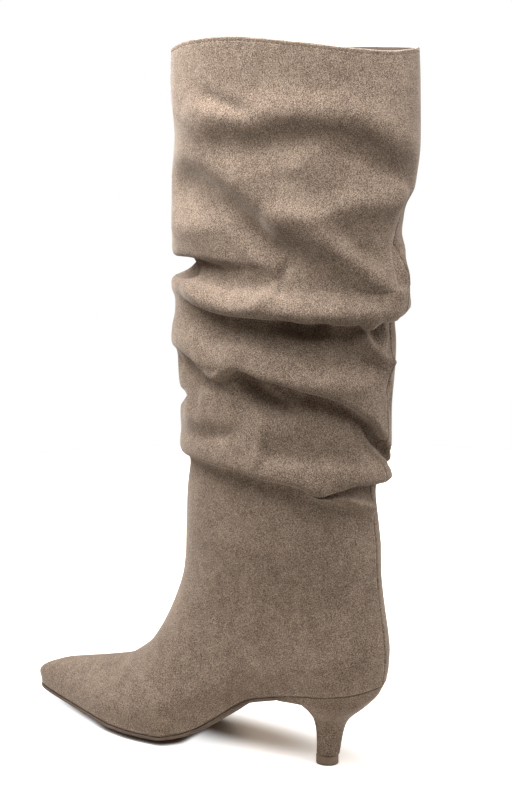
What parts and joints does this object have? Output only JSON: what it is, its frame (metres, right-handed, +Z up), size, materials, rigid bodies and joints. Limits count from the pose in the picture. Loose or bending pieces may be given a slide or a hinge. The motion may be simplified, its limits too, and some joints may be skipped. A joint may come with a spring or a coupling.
{
  "type": "slouch boot",
  "caption": "Left knee-high slouch boot in taupe suede, with a pointed toe, deep folds down the shaft, a thin outsole and a low covered heel.",
  "frame": {"origin": "middle of the heel tip's lower face, on the floor", "axes": "+Z up the leg, -Y from heel to toe, +X to the outer side of the foot"},
  "size_m": [0.1036, 0.2802, 0.438],
  "materials": {
    "suede": "matte suede nap",
    "sock": "matte",
    "sole": "satin",
    "heel_suede": "matte suede nap",
    "tip": "satin"
  },
  "bodies": {
    "root": {"upper": "suede", "insole": "sock", "outsole": "sole", "heel": "heel_suede", "heel_tip": "tip"}
  },
  "joints": []
}
